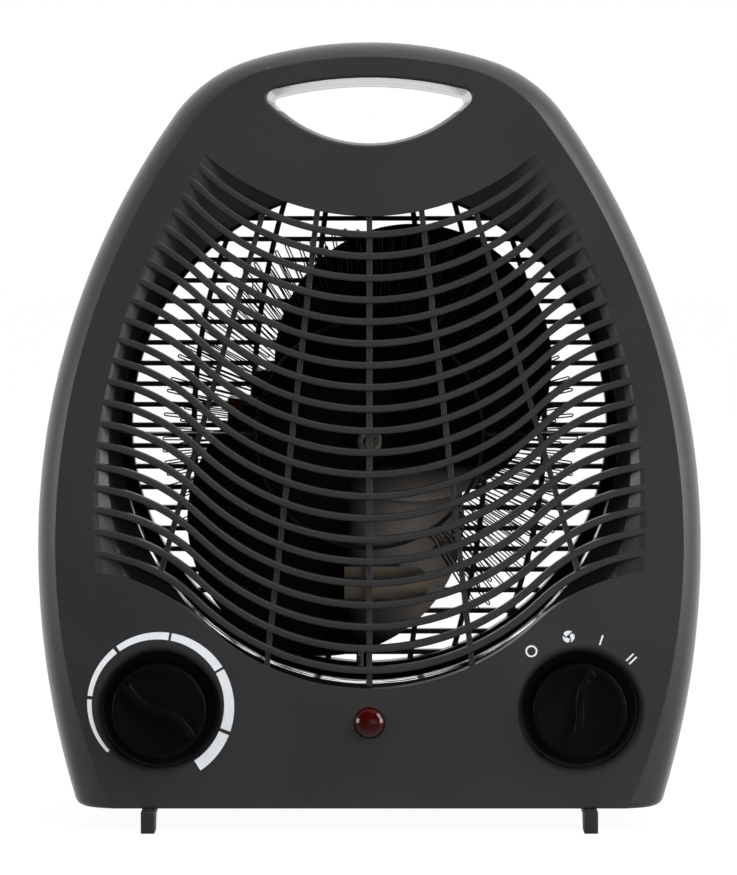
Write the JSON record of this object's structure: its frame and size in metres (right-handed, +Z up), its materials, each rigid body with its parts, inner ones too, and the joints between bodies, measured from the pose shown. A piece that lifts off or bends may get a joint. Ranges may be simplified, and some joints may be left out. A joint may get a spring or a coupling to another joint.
{
  "type": "fan heater",
  "caption": "Upright portable fan heater with a wavy moulded grille, carrying handle, thermostat and switch knobs, heating wires and a motor-driven fan inside.",
  "frame": {"origin": "on the floor under the middle of the bounding box", "axes": "+Z up, front faces -Y, +X to the right seen from the front"},
  "size_m": [0.2122, 0.116, 0.2507],
  "materials": {
    "shell": "fine-textured charcoal",
    "knob": "satin black",
    "foot": "black",
    "lens": "translucent red",
    "bulb": "clear",
    "black_plastic": "black",
    "bakelite": "dark brown",
    "tinned_steel": "bright tinned",
    "zinc_steel": "zinc plated",
    "laminations": "oiled laminations",
    "shaft_steel": "ground",
    "fan_metal": "satin",
    "mica": "silvery brown sheet",
    "nichrome": "dull heat-darkened",
    "winding": "varnished copper",
    "bobbin": "natural",
    "bronze": "sintered bronze",
    "strip": "bimetal",
    "gland": "black"
  },
  "bodies": {
    "housing": {"case_screws": "zinc_steel", "coil_bobbin": "bobbin", "control_screws": "zinc_steel", "cord_gland": "gland", "cutout_strip": "strip", "front_bearing": "bronze", "front_bracket": "zinc_steel", "front_shell": "shell", "heat_shield": "tinned_steel", "heating_wire_front": "nichrome", "heating_wire_rear": "nichrome", "indicator_bulb": "bulb", "indicator_lens": "lens", "lamp_holder": "black_plastic", "left_foot": "foot", "mica_arms": "mica", "mica_hoop": "mica", "motor_coil": "winding", "motor_screws": "zinc_steel", "rear_bearing": "bronze", "rear_bracket": "zinc_steel", "rear_shell": "shell", "right_foot": "foot", "stator_core": "laminations", "switch_body": "bakelite", "thermal_cutout": "black_plastic", "thermal_fuse": "shaft_steel", "thermostat_body": "bakelite"},
    "fan": {"fan_impeller": "fan_metal", "fan_nut": "zinc_steel", "motor_shaft": "shaft_steel", "motor_rotor": "shaft_steel"},
    "thermostat_dial": {"thermostat_knob": "knob", "thermostat_shaft": "shaft_steel"},
    "switch_dial": {"switch_knob": "knob", "switch_shaft": "shaft_steel"}
  },
  "joints": [
    {"name": "fan_spin", "type": "hinge", "parent": "housing", "child": "fan", "pos_m": [0, 0, 0.122], "axis": [0, 1, 0], "continuous": true},
    {"name": "thermostat_knob_turn", "type": "hinge", "parent": "housing", "child": "thermostat_dial", "pos_m": [-0.0666, -0.045, 0.0384], "axis": [0, 1, 0], "range_deg": [-258, 17]},
    {"name": "switch_knob_turn", "type": "hinge", "parent": "housing", "child": "switch_dial", "pos_m": [0.0666, -0.045, 0.0384], "axis": [0, 1, 0], "range_deg": [-56, 27]}
  ]
}
